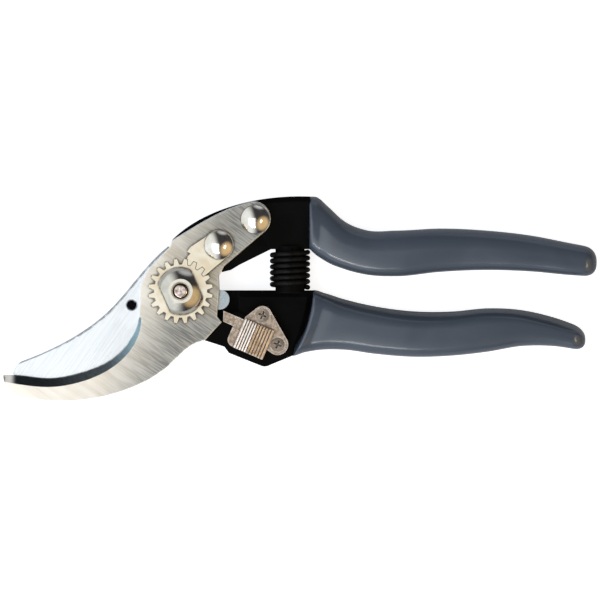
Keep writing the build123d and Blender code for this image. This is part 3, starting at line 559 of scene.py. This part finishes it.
def polished_blade():
    """Ground and polished steel: fine lines, painted shade over the lobe beyond the pivot, a thin edge of
    painted shade and a blind hole painted black as shade.
    """
    finish = Finish("polished_blade", Metallic=1.0)
    lines = finish.use(BRUSHED_LINES, Turn=-0.95, Fineness=2600.0, Length=70.0)
    marks = finish.use(HANDLING_MARKS, Scale=70.0)
    edges = finish.use(EDGE_WEAR_AND_LIGHT, Radius=0.0011, Wear=1.0)
    bright = finish.mix(lines["Lines"], (0.77, 0.82, 0.86), (0.86, 0.89, 0.91))
    # Painted shade: a darker copy of the steel for the lobe beyond the pivot, where the hook plate's shade
    # falls.
    painted_lobe_shade = finish.mix(lines["Lines"], (0.40, 0.46, 0.49), (0.48, 0.54, 0.57))
    ground = finish.mix(finish.along(X, 8.0, 14.0), bright, painted_lobe_shade)
    # Painted shade along the blade's edges on the jaw side, strongest by the pivot and fading towards the
    # tip.
    fading = finish.blend(finish.along(X, -60.0, -12.0), 0.15, 1.0)
    spine = finish.both(finish.both(edges["Edge"], finish.along(X, 6.0, 3.0)), fading)
    painted_spine_shade = (0.03, 0.035, 0.05)
    steel = finish.mix(stretch(finish.tree, spine, 0.0, 0.4), ground, painted_spine_shade)
    # Painted shade: the blade's hole is painted black below its lip.
    split = node(finish.tree, "SeparateXYZ", {"Vector": finish.place})
    offsets = [
        node(finish.tree, "Math", {0: split.outputs[axis], 1: middle * MM}, operation="SUBTRACT").outputs[0]
        for axis, middle in enumerate(BLADE_HOLE)
    ]
    across = node(finish.tree, "CombineXYZ", {"X": offsets[0], "Y": offsets[1]})
    reach = node(finish.tree, "VectorMath", {0: across.outputs[0]}, operation="LENGTH").outputs["Value"]
    near = stretch(finish.tree, reach, HOLE_EDGE[0] * MM, HOLE_EDGE[1] * MM)
    under = finish.along(Z, *HOLE_LIP)
    painted_hole_shade = (0.004, 0.004, 0.005)
    return finish.wear(
        Base_Color=finish.mix(finish.both(near, under), steel, painted_hole_shade),
        Roughness=finish.blend(marks["Marks"], 0.22, 0.27),
        Normal=finish.bump(lines["Lines"], 0.00001, 0.1),
    )


def brushed_plate():
    """Warm brushed steel: diagonal lines in broader bands, a painted reflection that is pale at the jaw and
    dull by the pivot, with a ground bevel whose painted reflection goes from near black to blue-grey, a
    plain bright tip, painted highlights on its rims, edges partly rubbed and partly painted bright, and
    painted shade in its corners."""
    finish = Finish("brushed_plate", Metallic=1.0)
    lines = finish.use(BRUSHED_LINES, Turn=0.6, Fineness=2300.0, Length=150.0)
    marks = finish.use(HANDLING_MARKS, Scale=55.0)
    edges = finish.use(EDGE_WEAR_AND_LIGHT, Radius=0.0009, Wear=1.0)
    gap_shade = finish.use(PAINTED_GAP_SHADE, Reach=0.0014, Amount=0.85)
    pale = finish.mix(lines["Bands"], (0.80, 0.74, 0.64), (0.98, 0.94, 0.86))
    grey = finish.mix(lines["Bands"], (0.22, 0.225, 0.21), (0.28, 0.28, 0.26))
    golden = finish.mix(lines["Bands"], (0.32, 0.28, 0.21), (0.42, 0.375, 0.29))
    by_nut = finish.both(finish.along(Y, -13.0, -3.0), finish.along(Y, 18.0, 9.0))
    dull = finish.mix(by_nut, grey, golden)
    # Painted reflection: the face fades from pale at the jaw to dull by the pivot, warmer in a band by the
    # nut.
    face = finish.mix(finish.along(PLATE_REFLECTION_FADE, -20.0, 8.0), pale, dull)
    bright_line, plain_tip, painted_arm_highlight = (0.93, 0.89, 0.81), (0.96, 0.96, 0.96), (0.99, 0.97, 0.92)
    edge_wear_and_highlight, gap_shade_colour = (0.97, 0.95, 0.90), (0.05, 0.04, 0.03)
    streaks = finish.mix(finish.blend(lines["Lines"], 0.0, 0.3), face, bright_line)
    # Painted reflection on the bevel: near black towards the tip, blue-grey towards the pivot, with plain
    # bright steel at the tip itself.
    bevel_dark_reflection = finish.mix(lines["Lines"], (0.085, 0.10, 0.11), (0.12, 0.14, 0.155))
    bevel_blue_reflection = finish.mix(lines["Lines"], (0.25, 0.37, 0.42), (0.33, 0.48, 0.54))
    bevel = finish.mix(finish.along(X, -28.0, -13.0), bevel_dark_reflection, bevel_blue_reflection)
    sloping = finish.slope(0.985, 0.96)
    tip = finish.both(finish.along(X, -60.3, -63.3), sloping)
    strip = finish.mix(tip, bevel, plain_tip)
    ground = finish.mix(sloping, streaks, strip)
    # Painted highlight on the rounded rims of the arm.
    arm_highlight_mask = finish.both(finish.slope(0.9, 0.8), finish.along(X, -9.0, -5.0))
    rounded = finish.mix(arm_highlight_mask, ground, painted_arm_highlight)
    # Edges here are lightened partly by wear and partly as a painted highlight along the plate's rims.
    rubbed = finish.mix(edges["Edge"], rounded, edge_wear_and_highlight)
    # Painted shade darkens the plate's corners and gaps.
    return finish.wear(
        Base_Color=finish.mix(gap_shade["Shade_Mask"], rubbed, gap_shade_colour),
        Roughness=finish.blend(tip, finish.blend(marks["Marks"], 0.28, 0.42), 0.8),
        Normal=finish.bump(lines["Lines"], 0.00002, 0.4),
    )


def black_casting():
    """Black coated casting: faint grain, dull in patches, rubbed a little along its edges."""
    finish = Finish("black_casting", Specular_IOR_Level=0.035)
    grain = finish.use(CAST_GRAIN, Scale=1500.0)
    marks = finish.use(HANDLING_MARKS, Scale=80.0)
    edges = finish.use(EDGE_WEAR_AND_LIGHT, Radius=0.0005, Wear=0.5)
    coat = finish.mix(marks["Marks"], (0.0016, 0.0016, 0.0016), (0.0034, 0.0034, 0.0036))
    edge_wear_and_highlight = (0.016, 0.016, 0.017)
    return finish.wear(
        Base_Color=finish.mix(edges["Edge"], coat, edge_wear_and_highlight),
        Roughness=finish.blend(marks["Marks"], 0.38, 0.5),
        Normal=finish.bump(grain["Height"], 0.00003, 0.5),
    )


def slate_grip():
    """Dipped vinyl in slate grey: glossy, with a faint orange-peel skin and duller patches."""
    finish = Finish("slate_grip", Specular_IOR_Level=0.6)
    grain = finish.use(CAST_GRAIN, Scale=260.0)
    marks = finish.use(HANDLING_MARKS, Scale=45.0)
    return finish.wear(
        Base_Color=finish.mix(marks["Marks"], (0.062, 0.080, 0.112), (0.070, 0.089, 0.124)),
        Roughness=finish.blend(marks["Marks"], 0.15, 0.22),
        Normal=finish.bump(grain["Height"], 0.00003, 0.2),
    )


def plated(name, dark, pale, low, high, turn, reach=0.0008, patches=160.0):
    """Plated steel: two tones in patches, faint turning lines, bright edges and painted shade in the
    corners.
    """
    finish = Finish(name, Metallic=1.0)
    lines = finish.use(BRUSHED_LINES, Turn=turn, Fineness=1400.0, Length=300.0)
    marks = finish.use(HANDLING_MARKS, Scale=patches)
    edges = finish.use(EDGE_WEAR_AND_LIGHT, Radius=0.0003, Wear=0.7)
    gap_shade = finish.use(PAINTED_GAP_SHADE, Reach=reach, Amount=1.0)
    tone = finish.mix(marks["Marks"], dark, pale)
    edge_wear_and_highlight, gap_shade_colour = (0.92, 0.88, 0.80), (0.05, 0.035, 0.025)
    rubbed = finish.mix(edges["Edge"], tone, edge_wear_and_highlight)
    return finish.wear(
        Base_Color=finish.mix(gap_shade["Shade_Mask"], rubbed, gap_shade_colour),
        Roughness=finish.blend(lines["Lines"], low, high),
        Normal=finish.bump(lines["Lines"], 0.000006, 0.4),
    )


def plated_nut():
    """Yellow-plated steel: cream and dull on the toothed rim, polished on the dome over it."""
    finish = Finish("plated_nut", Metallic=1.0)
    marks = finish.use(HANDLING_MARKS, Scale=160.0)
    grain = finish.use(CAST_GRAIN, Scale=700.0)
    edges = finish.use(EDGE_WEAR_AND_LIGHT, Radius=0.0003, Wear=0.6)
    gap_shade = finish.use(PAINTED_GAP_SHADE, Reach=0.0013, Amount=1.0)
    dome = finish.along(Z, *DOME_START)
    rim_tone = finish.mix(marks["Marks"], (0.86, 0.76, 0.57), (0.99, 0.93, 0.79))
    dome_tone = finish.mix(marks["Marks"], (0.58, 0.55, 0.48), (0.72, 0.68, 0.60))
    tone = finish.mix(dome, rim_tone, dome_tone)
    edge_wear_and_highlight, gap_shade_colour = (0.95, 0.90, 0.79), (0.05, 0.032, 0.018)
    rubbed = finish.mix(edges["Edge"], tone, edge_wear_and_highlight)
    # Painted shade darkens the nut's corners and the gaps between its rim's teeth.
    return finish.wear(
        Base_Color=finish.mix(gap_shade["Shade_Mask"], rubbed, gap_shade_colour),
        Roughness=finish.blend(dome, 0.36, 0.13),
        Normal=finish.bump(grain["Height"], 0.000012, 0.4),
    )


def zinc(name, dark, pale):
    """Die-cast zinc: two tones of a rosy silver in a cast grain, edges rubbed bright and painted shade in
    the corners.
    """
    finish = Finish(name, Metallic=1.0)
    grain = finish.use(CAST_GRAIN, Scale=900.0)
    marks = finish.use(HANDLING_MARKS, Scale=220.0)
    edges = finish.use(EDGE_WEAR_AND_LIGHT, Radius=0.0007, Wear=1.0)
    gap_shade = finish.use(PAINTED_GAP_SHADE, Reach=0.0008, Amount=0.8)
    skin = finish.mix(grain["Shade"], dark, pale)
    edge_wear_and_highlight, gap_shade_colour = (0.84, 0.75, 0.68), (0.07, 0.05, 0.038)
    rubbed = finish.mix(edges["Edge"], skin, edge_wear_and_highlight)
    return finish.wear(
        Base_Color=finish.mix(gap_shade["Shade_Mask"], rubbed, gap_shade_colour),
        Roughness=finish.blend(marks["Marks"], 0.22, 0.38),
        Normal=finish.bump(grain["Height"], 0.00003, 0.4),
    )


def black_wire():
    """Black oiled spring wire: two blacks in patches, duller where it is paler."""
    finish = Finish("black_wire", Specular_IOR_Level=0.1)
    marks = finish.use(HANDLING_MARKS, Scale=400.0)
    return finish.wear(
        Base_Color=finish.mix(marks["Marks"], (0.003, 0.003, 0.003), (0.008, 0.008, 0.008)),
        Roughness=finish.blend(marks["Marks"], 0.32, 0.5),
    )


def dress():
    """Gives every piece its finish and sets the new pieces in place of the plain ones."""
    silver = dict(dark=(0.58, 0.54, 0.50), pale=(0.76, 0.72, 0.67))
    gold = dict(dark=(0.74, 0.68, 0.59), pale=(0.90, 0.86, 0.79))
    rosy = dict(dark=(0.30, 0.22, 0.18), pale=(0.82, 0.74, 0.69))
    finishes = {
        "polished_blade": polished_blade(),
        "brushed_plate": brushed_plate(),
        "black_casting": black_casting(),
        "slate_grip": slate_grip(),
        "rivet_steel": plated("rivet_steel", **silver, low=0.3, high=0.42, turn=0.3),
        "plated_bolt": plated("plated_bolt", **rosy, low=0.12, high=0.2, turn=0.0, patches=420.0),
        "plated_nut": plated_nut(),
        "bright_screw": plated("bright_screw", **gold, low=0.1, high=0.16, turn=0.2),
        "black_wire": black_wire(),
        "zinc_catch": zinc("zinc_catch", (0.32, 0.25, 0.19), (0.55, 0.45, 0.36)),
        "spring_steel": plated("spring_steel", **silver, low=0.25, high=0.35, turn=1.2),
    }
    rubbed_ribs = zinc("rubbed_ribs", (0.62, 0.52, 0.45), (0.84, 0.73, 0.66))
    dull = dict(dark=(0.16, 0.12, 0.09), pale=(0.46, 0.38, 0.31))
    cross_heads = plated("cross_heads", **dull, low=0.18, high=0.32, turn=0.7, reach=0.0016)
    slots = {part["node"]: part["material_slot"] for part in frame["record"]["subparts"]}
    for name, piece in frame["nodes"].items():
        finish = cross_heads if name.startswith("bracket_screw") else finishes[slots[name]]
        piece.data.materials.clear()
        piece.data.materials.append(finish)

    upper = grip(
        "upper_grip_skin",
        UPPER_SECTIONS,
        lambda y: UPPER_MOUTH_X + 0 * y,
        UPPER_SECTIONS[-2][0],
        UPPER_BACK_SQUARENESS,
    )
    lower = grip(
        "lower_grip_skin",
        LOWER_SECTIONS,
        mouth_line(LOWER_MOUTH),
        LOWER_SECTIONS[-2][0],
        LOWER_BACK_SQUARENESS,
    )
    thumb = ribbed_thumb()
    for piece, body, replaced, finish in (
        (upper, "upper", "upper_grip", finishes["slate_grip"]),
        (lower, "lower", "lower_grip", finishes["slate_grip"]),
        (thumb, "catch", "catch_thumb", rubbed_ribs),
    ):
        piece.data.materials.append(finish)
        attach(piece, body)
        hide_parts(replaced)
    wire = coil_wire()
    wire.data.materials.append(finishes["black_wire"])
    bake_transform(wire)
    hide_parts("return_spring")


def softbox(name, place, target, size, brightness, colour):
    """An area light of one brightness all over that faces a point: its power grows with its area."""
    light = bpy.data.lights.new(name, "AREA")
    light.shape = "RECTANGLE"
    light.size, light.size_y = size
    light.energy = brightness * np.pi * size[0] * size[1]
    light.color = colour
    lamp = bpy.data.objects.new(name, light)
    lamp.location = place
    lamp.rotation_euler = (Vector(target) - Vector(place)).to_track_quat("-Z", "Y").to_euler()
    bpy.context.scene.collection.objects.link(lamp)


def studio():
    """A pale floor, soft light and the camera straight above."""
    scene = bpy.context.scene
    floor_mesh = bpy.data.meshes.new("floor")
    corners = [(x * FLOOR_REACH, y * FLOOR_REACH, 0) for x, y in ((-1, -1), (1, -1), (1, 1), (-1, 1))]
    floor_mesh.from_pydata(corners, [], ((0, 1, 2, 3),))
    floor = bpy.data.objects.new("floor", floor_mesh)
    scene.collection.objects.link(floor)
    paper = Finish("floor_paper", Specular_IOR_Level=0.1, Emission_Color=(1.0, 1.0, 1.0, 1.0))
    tone = paper.use(HANDLING_MARKS, Scale=3.0)
    seen = node(paper.tree, "LightPath").outputs["Is Camera Ray"]
    floor_mesh.materials.append(
        paper.wear(
            Base_Color=paper.mix(tone["Marks"], *FLOOR_TONES),
            Emission_Strength=paper.blend(seen, 0.0, FLOOR_GLOW),
        )
    )

    world = bpy.data.worlds.new("studio")
    world.use_nodes = True
    sky = world.node_tree
    towards = node(sky, "TexCoord").outputs["Object"]
    shade = DIM_ROOM
    for way, start, stop, tint in (COOL_WALL, WARM_WALL, FAR_WALL, UNDER_FLOOR):
        facing = node(sky, "VectorMath", {0: towards, 1: way}, operation="DOT_PRODUCT")
        shade = mixed(sky, stretch(sky, facing.outputs["Value"], start, stop), shade, tint)
    sky.links.new(shade, sky.nodes["Background"].inputs["Color"])
    scene.world = world

    for box in SOFTBOXES:
        softbox(*box)

    eye = bpy.data.cameras.new("camera")
    eye.type = "ORTHO"
    eye.ortho_scale = VIEW_WIDTH
    camera = bpy.data.objects.new("camera", eye)
    camera.location = (*VIEW_CENTRE, CAMERA_HEIGHT)
    scene.collection.objects.link(camera)
    scene.camera = camera
    scene.view_settings.view_transform = "Standard"


dress()
studio()
